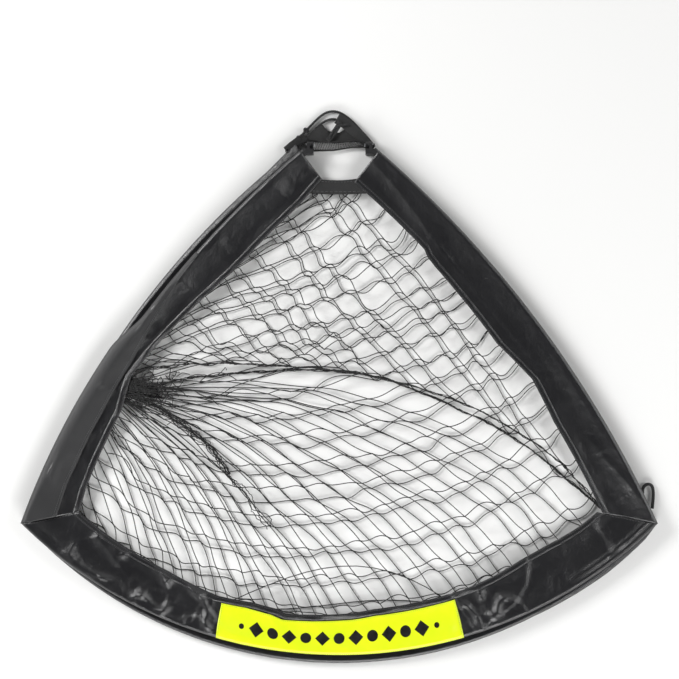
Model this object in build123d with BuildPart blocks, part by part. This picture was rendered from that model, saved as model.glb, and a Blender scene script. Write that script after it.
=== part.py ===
from build123d import *

import os
from math import asin, atan2, cos, degrees, radians, sin, tan

# A pop up goal that folds like a clam, stored folded flat on the ground.
# Millimetres. +Z up, +X to the right, +Y from the bowed mouth to the apex.
# Two fan-shaped frames of rod in fabric sleeves lie on each other. The base frame stays on the
# ground, and the top frame turns up about the hinge axis, which runs along X near the apex.

# driving dimensions
CORNER_X = 531.0  # where the rods of a side and of the mouth would meet
CORNER_Y = -227.0
BASE_FRONT_BOW = 233.8  # how far each rod bows out from its chord
TOP_FRONT_BOW = 217.0
BASE_LEFT_BOW = 58.0
TOP_LEFT_BOW = 44.0
RIGHT_BOW = 42.0

ROD_R = 3.95
BORE_R = 4.05  # of the moulded sockets
CHANNEL_R = 5.2  # the sleeve's rod channel, outside
CHANNEL_BORE_R = 4.25
SOCKET_R = 6.0
ELBOW_BALL_R = 6.15
ELBOW_SOCKET = 40.0  # how much of a rod each leg of an elbow holds
ELBOW_WEB = 11.0  # solid plastic between the corner and a rod's end

SIDE_BAND = 67.0  # width of the fabric bands
FRONT_BAND = 73.0
FLAP = 2.4  # two layers of fabric with their hems
NET = 1.2
CLEAR = 0.3

BASE_Z = 6.2  # height of each frame's rods
TOP_Z = 18.8
HINGE_Y = 412.0
HINGE_Z = (BASE_Z + TOP_Z) / 2
ROD_END = (60.0, 400.0)  # the upper end of a right side rod
SLEEVE_STOP = 17.0  # a side sleeve stops this far short of the rod's end
HINGE_SOCKET = 13.0
HINGE_CAP = 4.0

EAR_R = 6.0
EAR_WIDTH = 5.5
EAR_X = 44.0  # inner face of the base ear
EAR_GAP = 0.5
PIN_R = 1.5
PIN_BORE_R = 1.55
PIN_HEAD_R = 2.6
PIN_HEAD = 1.5
BLOCK_LOW_Y = 396.0
BLOCK_HIGH_Y = 405.0
BLOCK_HIGH_X = 62.0
BLOCK_DEPTH = 11.0
BLOCK_GAP = 1.0  # from the hinge's level to a block

RIBBON_LOW_Y = 333.0
RIBBON_HIGH_Y = 354.0
RIBBON = 1.5

LABEL_ANGLE = 33.5
LABEL_WIDTH = 51.0
LABEL = 1.0

CORD_R = 2.25
CORD_Z = 3.0

os.makedirs("parts", exist_ok=True)


class Bow:
    """A level arc from one point to another that bows out to the right of the way there."""

    def __init__(self, first, last, bow):
        first, last = Vector(*first), Vector(*last)
        chord = last - first
        self.radius = ((chord.length / 2) ** 2 + bow**2) / (2 * bow)
        outward = Vector(chord.Y, -chord.X).normalized()
        self.centre = (first + last) * 0.5 + outward * (bow - self.radius)
        self.start = degrees(atan2(first.Y - self.centre.Y, first.X - self.centre.X))
        self.sweep = 2 * degrees(asin(chord.length / 2 / self.radius))

    def turn(self, length):
        """The angle that a length takes up along the arc."""
        return degrees(length / self.radius)

    def section(self, angle, z):
        """The upright plane across the arc, x outwards and y up, at an angle from its start."""
        at = radians(self.start + angle)
        outward = Vector(cos(at), sin(at))
        origin = Vector(self.centre.X, self.centre.Y, z) + outward * self.radius
        return Plane(origin=origin, x_dir=outward, z_dir=(sin(at), -cos(at), 0))

    def axis(self):
        return Axis((self.centre.X, self.centre.Y, 0), (0, 0, 1))


CORNER = (CORNER_X, CORNER_Y)
LEFT_CORNER = (-CORNER_X, CORNER_Y)
# each side is drawn on the right, and a left-hand piece is then mirrored to its own side
FRAMES = {
    "base": {
        "z": BASE_Z,
        "sides": {
            "left": Bow(CORNER, ROD_END, BASE_LEFT_BOW),
            "right": Bow(CORNER, ROD_END, RIGHT_BOW),
        },
        "front": Bow(LEFT_CORNER, CORNER, BASE_FRONT_BOW),
        "front_rod": "base_front_pole",
        "front_sleeve": "base_front_sleeve",
    },
    "top": {
        "z": TOP_Z,
        "sides": {
            "left": Bow(CORNER, ROD_END, TOP_LEFT_BOW),
            "right": Bow(CORNER, ROD_END, RIGHT_BOW),
        },
        "front": Bow(LEFT_CORNER, CORNER, TOP_FRONT_BOW),
        "front_rod": "crossbar_pole",
        "front_sleeve": "crossbar_sleeve",
    },
}


def save(piece, name):
    piece.label = name
    export_step(piece, f"parts/{name}.step")


def save_hand(builder, hand, before, after):
    """Writes a piece drawn on the right, mirrored if it is the left-hand one."""
    piece = builder.part
    if hand == "left":
        piece = mirror(piece, about=Plane.YZ, mode=Mode.PRIVATE)
    save(piece, f"{before}{hand}{after}")


def front_rod(frame):
    front, z = frame["front"], frame["z"]
    with BuildPart() as rod:
        inset = front.turn(ELBOW_WEB)
        with BuildSketch(front.section(inset, z)):
            Circle(ROD_R)
        revolve(axis=front.axis(), revolution_arc=front.sweep - 2 * inset)
    save(rod.part, frame["front_rod"])


def side_rod(frame, name, hand):
    side, z = frame["sides"][hand], frame["z"]
    with BuildPart() as rod:
        inset = side.turn(ELBOW_WEB)
        with BuildSketch(side.section(inset, z)):
            Circle(ROD_R)
        revolve(axis=side.axis(), revolution_arc=side.sweep - inset)
    save_hand(rod, hand, f"{name}_", "_pole")


def elbow(frame, name, hand):
    """The moulded corner that joins a side rod to the mouth's rod, with a blind socket for each."""
    front, side, z = frame["front"], frame["sides"][hand], frame["z"]
    with BuildPart() as corner:
        with BuildSketch(side.section(0, z)):
            Circle(SOCKET_R)
        revolve(axis=side.axis(), revolution_arc=side.turn(ELBOW_SOCKET + ELBOW_WEB))
        front_leg = front.turn(ELBOW_SOCKET + ELBOW_WEB)
        with BuildSketch(front.section(front.sweep - front_leg, z)):
            Circle(SOCKET_R)
        revolve(axis=front.axis(), revolution_arc=front_leg)
        with Locations((*CORNER, z)):
            Sphere(ELBOW_BALL_R)
        with BuildSketch(side.section(side.turn(ELBOW_WEB), z)):
            Circle(BORE_R)
        revolve(axis=side.axis(), revolution_arc=side.turn(ELBOW_SOCKET + 1), mode=Mode.SUBTRACT)
        front_bore = front.turn(ELBOW_SOCKET + 1)
        with BuildSketch(front.section(front.sweep - front.turn(ELBOW_WEB) - front_bore, z)):
            Circle(BORE_R)
        revolve(axis=front.axis(), revolution_arc=front_bore, mode=Mode.SUBTRACT)
    save_hand(corner, hand, f"{name}_", "_elbow")


def hinge_end(frame, name, hand):
    """The moulded cap on a side rod's upper end, with the ear that the hinge pin goes through."""
    side, z = frame["sides"][hand], frame["z"]
    up = 1 if z > HINGE_Z else -1
    ear_x = EAR_X if up < 0 else EAR_X + EAR_WIDTH + EAR_GAP
    block_z = HINGE_Z + up * (BLOCK_GAP + BLOCK_DEPTH / 2)
    with BuildPart() as cap:
        with BuildSketch(side.section(side.sweep - side.turn(HINGE_SOCKET), z)):
            Circle(SOCKET_R)
        revolve(axis=side.axis(), revolution_arc=side.turn(HINGE_SOCKET + HINGE_CAP))
        with Locations(((EAR_X + BLOCK_HIGH_X) / 2, (BLOCK_LOW_Y + BLOCK_HIGH_Y) / 2, block_z)):
            Box(BLOCK_HIGH_X - EAR_X, BLOCK_HIGH_Y - BLOCK_LOW_Y, BLOCK_DEPTH)
        web = BLOCK_GAP + BLOCK_DEPTH
        with Locations(((ear_x + EAR_WIDTH / 2), (BLOCK_LOW_Y + HINGE_Y) / 2, HINGE_Z + up * web / 2)):
            Box(EAR_WIDTH, HINGE_Y - BLOCK_LOW_Y, web)
        with BuildSketch(Plane.YZ.offset(ear_x)):
            with Locations((HINGE_Y, HINGE_Z)):
                Circle(EAR_R)
        extrude(amount=EAR_WIDTH)
        with BuildSketch(Plane.YZ.offset(ear_x)):
            with Locations((HINGE_Y, HINGE_Z)):
                Circle(PIN_BORE_R)
        extrude(amount=EAR_WIDTH, mode=Mode.SUBTRACT)
        bore_start = side.sweep - side.turn(HINGE_SOCKET + 1)
        with BuildSketch(side.section(bore_start, z)):
            Circle(BORE_R)
        revolve(axis=side.axis(), revolution_arc=side.turn(HINGE_SOCKET + 1), mode=Mode.SUBTRACT)
    save_hand(cap, hand, f"{name}_", "_hinge_end")


def hinge_pin(hand):
    span = 2 * EAR_WIDTH + EAR_GAP
    with BuildPart() as pin:
        with BuildSketch(Plane.YZ.offset(EAR_X - CLEAR)):
            with Locations((HINGE_Y, HINGE_Z)):
                Circle(PIN_R)
        extrude(amount=span + 2 * CLEAR)
        for head_x in (EAR_X - CLEAR - PIN_HEAD, EAR_X + span + CLEAR):
            with BuildSketch(Plane.YZ.offset(head_x)):
                with Locations((HINGE_Y, HINGE_Z)):
                    Circle(PIN_HEAD_R)
            extrude(amount=PIN_HEAD)
    save_hand(pin, hand, "", "_hinge_pin")


def channel_section(band):
    """A sleeve's section round its rod: the channel, and the flap inwards from under it."""
    Circle(CHANNEL_R)
    with Locations((0, -BASE_Z)):
        Rectangle(band - CHANNEL_R, FLAP, align=(Align.MAX, Align.MIN))
    Circle(CHANNEL_BORE_R, mode=Mode.SUBTRACT)


def flap_section(band):
    """A sleeve's section beside an elbow: the flap alone."""
    inner = SOCKET_R + 1
    with Locations((-inner, -BASE_Z)):
        Rectangle(band - CHANNEL_R - inner, FLAP, align=(Align.MAX, Align.MIN))


def mitre_plane(frame, hand):
    """The upright plane that halves the right corner, its normal towards the mouth."""
    front, side = frame["front"], frame["sides"][hand]
    up_side = side.section(0, 0).z_dir * -1
    along_front = front.section(front.sweep, 0).z_dir
    inwards = (up_side + along_front).normalized()
    return Plane(origin=(*CORNER, 0), x_dir=inwards, z_dir=(-inwards.Y, inwards.X, 0))


def past_mitre(frame, hand, towards_mouth):
    """The mitre plane moved half a gap to one side of the seam, facing away from it."""
    mitre = mitre_plane(frame, hand)
    facing = mitre.z_dir * (1 if towards_mouth else -1)
    return Plane(origin=mitre.origin + facing * (CLEAR / 2), x_dir=mitre.x_dir, z_dir=facing)


def side_sleeve(frame, name, hand):
    side, z = frame["sides"][hand], frame["z"]
    with BuildPart() as sleeve:
        inset = side.turn(ELBOW_WEB + ELBOW_SOCKET + 1)
        stop = side.sweep - side.turn(SLEEVE_STOP)
        with BuildSketch(side.section(inset, z)):
            channel_section(SIDE_BAND)
        revolve(axis=side.axis(), revolution_arc=stop - inset)
        overrun = side.turn(FRONT_BAND)
        with BuildSketch(side.section(-overrun, z)):
            flap_section(SIDE_BAND)
        revolve(axis=side.axis(), revolution_arc=stop + overrun)
        split(bisect_by=past_mitre(frame, hand, False), keep=Keep.TOP)
    save_hand(sleeve, hand, f"{name}_", "_sleeve")


def front_sleeve(frame):
    front, z = frame["front"], frame["z"]
    with BuildPart() as sleeve:
        inset = front.turn(ELBOW_WEB + ELBOW_SOCKET + 1)
        with BuildSketch(front.section(inset, z)):
            channel_section(FRONT_BAND)
        revolve(axis=front.axis(), revolution_arc=front.sweep - 2 * inset)
        overrun = front.turn(SIDE_BAND)
        with BuildSketch(front.section(-overrun, z)):
            flap_section(FRONT_BAND)
        revolve(axis=front.axis(), revolution_arc=front.sweep + 2 * overrun)
        split(bisect_by=past_mitre(frame, "right", True), keep=Keep.TOP)
        left = past_mitre(frame, "left", True)
        left_normal = (-left.z_dir.X, left.z_dir.Y, 0)
        split(bisect_by=Plane((-left.origin.X, left.origin.Y, 0), z_dir=left_normal), keep=Keep.TOP)
    save(sleeve.part, frame["front_sleeve"])


def opening(frame):
    """The level outline inside a frame's bands, where its net and its ribbon lie."""
    front, right, left = frame["front"], frame["sides"]["right"], frame["sides"]["left"]
    side_inset = SIDE_BAND - CHANNEL_R + CLEAR
    with Locations((right.centre.X, right.centre.Y)):
        Circle(right.radius - side_inset)
    with Locations((-left.centre.X, left.centre.Y)):
        Circle(left.radius - side_inset, mode=Mode.INTERSECT)
    with Locations((front.centre.X, front.centre.Y)):
        Circle(front.radius - FRONT_BAND + CHANNEL_R - CLEAR, mode=Mode.INTERSECT)


def net_and_ribbon(frame, name):
    z = frame["z"] - BASE_Z + CLEAR
    reach = 2 * CORNER_X
    with BuildPart() as net:
        with BuildSketch(Plane.XY.offset(z)):
            opening(frame)
            with Locations((0, RIBBON_LOW_Y - CLEAR)):
                Rectangle(reach, reach, align=(Align.CENTER, Align.MIN), mode=Mode.SUBTRACT)
        extrude(amount=NET)
    save(net.part, f"{name}_net")

    with BuildPart() as ribbon:
        with BuildSketch(Plane.XY.offset(z)):
            opening(frame)
            with Locations((0, RIBBON_LOW_Y)):
                Rectangle(
                    reach,
                    RIBBON_HIGH_Y - RIBBON_LOW_Y,
                    align=(Align.CENTER, Align.MIN),
                    mode=Mode.INTERSECT,
                )
        extrude(amount=RIBBON)
    save(ribbon.part, f"{name}_ribbon")


def side_net(hand):
    """The netting that joins the two frames' sides, gathered between them while they are shut."""
    side = FRAMES["base"]["sides"][hand]
    thick = 3.0
    width = 42.0
    level = 6.5
    inset = side.turn(140)
    with BuildPart() as gathered:
        with BuildSketch(side.section(inset, level)):
            with Locations((-CHANNEL_R - 4, 0)):
                Rectangle(width, thick, align=(Align.MAX, Align.CENTER))
        revolve(axis=side.axis(), revolution_arc=side.sweep - inset - side.turn(60))
    save_hand(gathered, hand, "", "_side_net")


def label():
    front, z = FRAMES["top"]["front"], FRAMES["top"]["z"]
    with BuildPart() as patch:
        with BuildSketch(front.section((front.sweep - LABEL_ANGLE) / 2, z)):
            with Locations((-CHANNEL_R - 1, FLAP + CLEAR - BASE_Z)):
                Rectangle(LABEL_WIDTH, LABEL, align=(Align.MAX, Align.MIN))
        revolve(axis=front.axis(), revolution_arc=LABEL_ANGLE)
    save(patch.part, "label_patch")


def stake_loops():
    """Flat webbing loops at the base frame's corners: the right one out, the left one tucked in."""
    thick = 2.2
    root_z = 3.0
    tucked_z = FLAP - 0.1
    tuck = 38.0
    rim = [(512, -171), (518, -163), (526, -160), (534, -165), (535, -180), (532, -206), (530, -206), (520, -180)]
    slot = [(522.5, -178), (522.5, -169), (528, -168), (530.5, -174), (530, -190), (527.5, -190)]
    with BuildPart() as loop:
        with BuildSketch(Plane.XY.offset(root_z)):
            with BuildLine():
                Polyline(*rim, close=True)
            make_face()
            with BuildLine():
                Polyline(*slot, close=True)
            make_face(mode=Mode.SUBTRACT)
        extrude(amount=thick)
    save(loop.part, "right_stake_loop")
    tucked = Pos(tuck, 0, tucked_z - root_z) * mirror(loop.part, about=Plane.YZ, mode=Mode.PRIVATE)
    save(tucked, "left_stake_loop")


def apex_cloth():
    """The mesh gusset across the apex, and the webbing that runs down its right-hand side."""
    level = 5.8
    thick = 1.4
    with BuildPart() as gusset:
        with BuildSketch(Plane.XY.offset(level)):
            with BuildLine():
                Polyline((-41, 404), (41, 404), (41, 420), (-41, 420), close=True)
            make_face()
        extrude(amount=thick)
    save(gusset.part, "apex_gusset")

    with BuildPart() as strap:
        with BuildSketch(Plane.XY.offset(level)):
            with BuildLine():
                Polyline((-8, 452), (6, 466), (60, 423.5), (48, 421), close=True)
            make_face()
        extrude(amount=thick)
    save(strap.part, "apex_strap")


def cord(name, route, level, thick_r):
    """A cord laid level on straight runs with an arc at each turn, as large as the runs allow."""
    points = [Vector(x, y, level) for x, y in route]
    runs = [b - a for a, b in zip(points, points[1:])]
    radii = []
    for before, after in zip(runs, runs[1:]):
        half_turn = radians(before.get_angle(after)) / 2
        radii.append(0.45 * min(before.length, after.length) / tan(half_turn))
    print(name, "arc radii", [round(r, 1) for r in radii])
    with BuildPart() as tube:
        with BuildLine() as path:
            FilletPolyline(*points, radius=radii)
        with BuildSketch(Plane(origin=path.line @ 0, z_dir=path.line % 0)):
            Circle(thick_r)
        sweep()
    save(tube.part, name)


def apex_cords():
    outer = [(-66, 428), (-44, 452), (-26, 468), (-8, 472), (10, 464), (30, 446), (44, 429)]
    inner = [(-57, 422), (-44, 438), (-29, 452), (-12, 459), (4, 453), (20, 438), (33, 425)]
    cross = [(16, 447), (0, 447), (-12, 438), (-17, 424)]
    cord("apex_cord_outer", outer, CORD_Z, CORD_R)
    cord("apex_cord_inner", inner, CORD_Z, CORD_R)
    cord("apex_cord_cross", cross, 9.8, 2.0)
    knot_r = 5.5
    with BuildPart() as knots:
        with Locations((-69, 424.5, knot_r), (-57, 438, knot_r)):
            Sphere(knot_r)
    save(knots.part, "cord_knots")


for frame_name, one_frame in FRAMES.items():
    front_rod(one_frame)
    front_sleeve(one_frame)
    net_and_ribbon(one_frame, frame_name)
    for one_hand in ("left", "right"):
        side_rod(one_frame, frame_name, one_hand)
        elbow(one_frame, frame_name, one_hand)
        hinge_end(one_frame, frame_name, one_hand)
        side_sleeve(one_frame, frame_name, one_hand)
for one_hand in ("left", "right"):
    hinge_pin(one_hand)
    side_net(one_hand)
label()
stake_loops()
apex_cloth()
apex_cords()
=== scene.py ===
import math

import bpy
import numpy as np
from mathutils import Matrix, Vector, noise


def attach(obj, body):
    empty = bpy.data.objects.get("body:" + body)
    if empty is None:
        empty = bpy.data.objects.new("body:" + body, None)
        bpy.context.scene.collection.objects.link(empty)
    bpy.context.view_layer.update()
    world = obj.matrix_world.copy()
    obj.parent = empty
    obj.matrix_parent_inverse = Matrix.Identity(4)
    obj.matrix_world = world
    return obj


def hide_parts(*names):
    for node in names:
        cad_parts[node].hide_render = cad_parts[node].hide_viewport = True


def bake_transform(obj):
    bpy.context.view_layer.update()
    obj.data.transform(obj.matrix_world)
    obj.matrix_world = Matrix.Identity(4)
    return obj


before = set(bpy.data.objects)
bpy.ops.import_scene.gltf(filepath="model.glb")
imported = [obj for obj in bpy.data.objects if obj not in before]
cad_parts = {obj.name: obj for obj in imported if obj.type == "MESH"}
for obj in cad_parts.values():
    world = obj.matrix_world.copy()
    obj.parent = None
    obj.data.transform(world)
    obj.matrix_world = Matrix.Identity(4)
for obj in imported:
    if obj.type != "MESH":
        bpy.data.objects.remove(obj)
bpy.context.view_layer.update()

# Everything is worked out in millimetres, in the part's frame, and written as metres.
MM = 0.001

# the part's driving dimensions
CORNER = (531.0, -227.0)
LEFT_CORNER = (-531.0, -227.0)
ROD_END = (60.0, 400.0)
BASE_FRONT_BOW = 233.8
TOP_FRONT_BOW = 217.0
BASE_LEFT_BOW = 58.0
TOP_LEFT_BOW = 44.0
RIGHT_BOW = 42.0
BASE_Z = 6.2
TOP_Z = 18.8
SIDE_BAND = 67.0
FRONT_BAND = 73.0
CHANNEL_R = 5.2
RIBBON_LOW_Y = 333.0
RIBBON_HIGH_Y = 354.0

SLEEVE_R = 6.25  # cloth round a rod and its elbows
HEM = 9.0


# ---- arcs


class Bow:
    """A level arc that bows out to the right of the way from its first point to its last."""

    def __init__(self, first, last, bow):
        first, last = np.array(first), np.array(last)
        chord = last - first
        half = np.hypot(*chord) / 2
        self.radius = (half**2 + bow**2) / (2 * bow)
        outward = np.array((chord[1], -chord[0])) / (2 * half)
        self.centre = (first + last) / 2 + outward * (bow - self.radius)
        self.start = math.atan2(*(first - self.centre)[::-1])
        self.length = 2 * math.asin(half / self.radius) * self.radius

    def at(self, along, out):
        """Plan position a length along the arc and a distance outwards of it."""
        turn = self.start + np.asarray(along) / self.radius
        reach = self.radius + np.asarray(out)
        return np.stack((self.centre[0] + reach * np.cos(turn), self.centre[1] + reach * np.sin(turn)), -1)

    def out_of(self, point):
        """How far outwards of the arc a plan position is."""
        return np.linalg.norm(np.asarray(point) - self.centre, axis=-1) - self.radius

    def tangent(self, along):
        turn = self.start + along / self.radius
        return np.array((-math.sin(turn), math.cos(turn)))


def mitre_line(front, side):
    """Unit direction of the corner's mitre, inwards from the right corner."""
    inwards = side.tangent(0) - front.tangent(front.length)
    return inwards / np.linalg.norm(inwards)


MITRE_GAP = 0.2


class Band:
    """A fabric band along one arc, from its mitre to its other end, with u from 0 to 1 along it."""

    def __init__(self, bow, z, width, starts, ends, mirrored):
        self.bow, self.z, self.width, self.mirrored = bow, z, width, mirrored
        self.starts, self.ends = starts, ends
        self.hem, self.over = None, None

    def along(self, u, out):
        first, last = self.starts(out), self.ends(out)
        return first + u * (last - first)

    def point(self, u, out, height):
        x, y = self.bow.at(self.along(u, out), out)
        return (-x if self.mirrored else x, y, height)

    def plan(self, u, out):
        return np.array(self.point(u, out, 0)[:2])

    def hem_out(self, u):
        """Where the hem is, outwards of the rod."""
        if self.over is None:
            return CHANNEL_R - self.width - float(np.interp(u, *self.hem))
        covered = self.over.width + float(np.interp(u, *self.over.hem)) + self.beyond(u)
        return CHANNEL_R - min(self.width, covered - 1.5)

    def beyond(self, u):
        """How far outwards of the band on top of it this band's rod is."""
        return float(self.over.bow.out_of(self.bow.at(self.along(u, 0.0), 0.0)))


MITRE_OUTS = np.linspace(-120.0, 60.0, 91)


def mitre_table(bow, inwards, low, high):
    """How far along an arc the corner's mitre is, at each of MITRE_OUTS outwards of it."""

    def side_of(along, out):
        offset = bow.at(along, out) - np.array(CORNER)
        return offset[0] * inwards[1] - offset[1] * inwards[0]

    table = []
    for out in MITRE_OUTS:
        near, far = low, high
        rising = side_of(far, out) > side_of(near, out)
        for _ in range(36):
            middle = (near + far) / 2
            if (side_of(middle, out) > 0) == rising:
                far = middle
            else:
                near = middle
        table.append((near + far) / 2)
    return np.array(table)


def make_bands(z, front_bow, left_bow, right_bow):
    front = Bow(LEFT_CORNER, CORNER, front_bow)
    bands = {}
    front_ends = {}
    for hand, bow in (("left", left_bow), ("right", right_bow)):
        side = Bow(CORNER, ROD_END, bow)
        inwards = mitre_line(front, side)
        front_ends[hand] = mitre_table(front, inwards, front.length - 90, front.length + 90) - MITRE_GAP
        starts = mitre_table(side, inwards, -90, 90) + MITRE_GAP
        bands[hand] = Band(
            side,
            z,
            SIDE_BAND,
            lambda out, starts=starts: np.interp(out, MITRE_OUTS, starts),
            lambda out, side=side: side.length - 4.0 + 0.05 * out,
            hand == "left",
        )
    bands["front"] = Band(
        front,
        z,
        FRONT_BAND,
        lambda out: front.length - np.interp(out, MITRE_OUTS, front_ends["left"]),
        lambda out: np.interp(out, MITRE_OUTS, front_ends["right"]),
        False,
    )
    return bands


BASE = make_bands(BASE_Z, BASE_FRONT_BOW, BASE_LEFT_BOW, RIGHT_BOW)
TOP = make_bands(TOP_Z, TOP_FRONT_BOW, TOP_LEFT_BOW, RIGHT_BOW)

# shares of the way along a top band, and how much wider its hem stands there than its cut
TOP["left"].hem = ((0, 0.07, 0.16, 0.28, 0.37, 0.44, 0.56, 0.70, 0.92, 1), (12, 4, -2, -9, -27, -23, -13, 0, 0, -8))
TOP["right"].hem = ((0, 0.25, 0.37, 0.48, 0.72, 0.75, 0.77, 1), (8, 5, -4, 9, 6, 4, -1, -1))
TOP["front"].hem = (
    (0, 0.19, 0.29, 0.35, 0.39, 0.41, 0.52, 0.56, 0.72, 0.78, 0.84, 0.89, 0.95, 1),
    (5, 2, -7, -3, -6, -12, -6, -1, 2, 6, 12, 12, 8, 8),
)
for hand in BASE:
    BASE[hand].over = TOP[hand]


# ---- small helpers


def smooth(low, high, x):
    t = np.clip((np.asarray(x, float) - low) / (high - low), 0, 1)
    return t * t * (3 - 2 * t)


def rough(x, y, z, scale, octaves=3):
    """Smooth noise from about -1 to 1 at a plan position, with features scale millimetres across."""
    return noise.fractal(Vector((x / scale, y / scale, z)), 0.6, 2.1, octaves)


def ridged(x, y, z, scale):
    """Noise whose high lines are sharp, as creases are."""
    return 1 - 2.2 * abs(noise.noise(Vector((x / scale, y / scale, z))))


def new_piece(name, points, faces, material, body):
    mesh = bpy.data.meshes.new(name)
    mesh.from_pydata((np.asarray(points, float) * MM).tolist(), [], faces)
    mesh.update()
    mesh.polygons.foreach_set("use_smooth", [True] * len(mesh.polygons))
    mesh.materials.append(material)
    piece = bpy.data.objects.new(name, mesh)
    bpy.context.scene.collection.objects.link(piece)
    if body:
        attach(piece, body)
    return piece


class Tubes:
    """Gathers round strands into one mesh."""

    def __init__(self, sides=6):
        self.points, self.faces, self.sides = [], [], sides

    def add(self, path, radius, rise_share=None):
        """A strand along path. With rise_share it's level ribbon, that share of its width high."""
        path = np.asarray(path, float)
        radius = np.broadcast_to(np.asarray(radius, float), (len(path),))
        ways = np.gradient(path, axis=0)
        if rise_share is not None:
            ways[:, 2] = 0
        ways /= np.maximum(np.linalg.norm(ways, axis=1, keepdims=True), 1e-9)
        up = np.array((0.0, 0.0, 1.0))
        across = np.cross(ways, up)
        flat = np.linalg.norm(across, axis=1) < 1e-3
        across[flat] = (1.0, 0.0, 0.0)
        across /= np.linalg.norm(across, axis=1, keepdims=True)
        rise = np.cross(across, ways) * (1.0 if rise_share is None else rise_share)
        turns = np.arange(self.sides) * 2 * math.pi / self.sides
        ring = (
            np.cos(turns)[None, :, None] * across[:, None, :] + np.sin(turns)[None, :, None] * rise[:, None, :]
        ) * radius[:, None, None] + path[:, None, :]
        self.close(len(self.points), len(path))
        self.points.extend(ring.reshape(-1, 3).tolist())

    def close(self, first, rows):
        """Walls between rows of points, the first of which starts at first, and a cap at each end."""
        n = self.sides
        for k in range(rows - 1):
            for j in range(n):
                a, b = first + k * n + j, first + k * n + (j + 1) % n
                self.faces.append((a, b, b + n, a + n))
        self.faces.append(tuple(first + j for j in range(n))[::-1])
        self.faces.append(tuple(first + (rows - 1) * n + j for j in range(n)))

    def lump(self, centre, size):
        """A small knot."""
        rows = ((-0.8, 0.55), (0.0, 1.0), (0.8, 0.55))
        x, y, z = centre
        self.close(len(self.points), len(rows))
        for height, wide in rows:
            for j in range(self.sides):
                turn = 2 * math.pi * j / self.sides
                self.points.append(
                    (x + size * wide * math.cos(turn), y + size * wide * math.sin(turn), z + size * height * 0.8)
                )

    def stitch(self, a, b, radius, bow=0.0):
        """A short strand from a to b, with its middle raised by bow."""
        x, y, z = [(p + q) / 2 for p, q in zip(a, b)]
        self.add([a, (x, y, z + bow), b], radius)

    def piece(self, name, material, body, slot):
        return new_piece(name, self.points, self.faces, material, body)


def distances(line):
    """How far along a line each of its points is."""
    return np.r_[0, np.cumsum(np.linalg.norm(np.diff(line, axis=0), axis=1))]


def resample(path, step):
    lengths = distances(path)
    count = max(3, int(lengths[-1] / step) + 1)
    wanted = np.linspace(0, lengths[-1], count)
    return np.stack([np.interp(wanted, lengths, path[:, k]) for k in range(path.shape[1])], -1)


def directions(line):
    """Unit vectors along a line, at each of its points."""
    ways = np.gradient(line, axis=0)
    return ways / np.linalg.norm(ways, axis=1, keepdims=True)


def part_way(line, at):
    """Plan position at a whole or part index of a line's points."""
    return np.array([np.interp(at, range(len(line)), line[:, k]) for k in range(2)])


def spline(points, per_run=12):
    """A quadratic B-spline that starts and ends on its end points."""
    p = np.asarray(points, float)
    middles = (p[1:] + p[:-1]) / 2
    out = [p[0]]
    for k in range(1, len(p) - 1):
        a = p[0] if k == 1 else middles[k - 1]
        b = p[-1] if k == len(p) - 2 else middles[k]
        for t in np.linspace(0, 1, per_run + 1)[1:]:
            out.append((1 - t) ** 2 * a + 2 * t * (1 - t) * p[k] + t * t * b)
    return np.array(out)


# ---- materials


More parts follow.
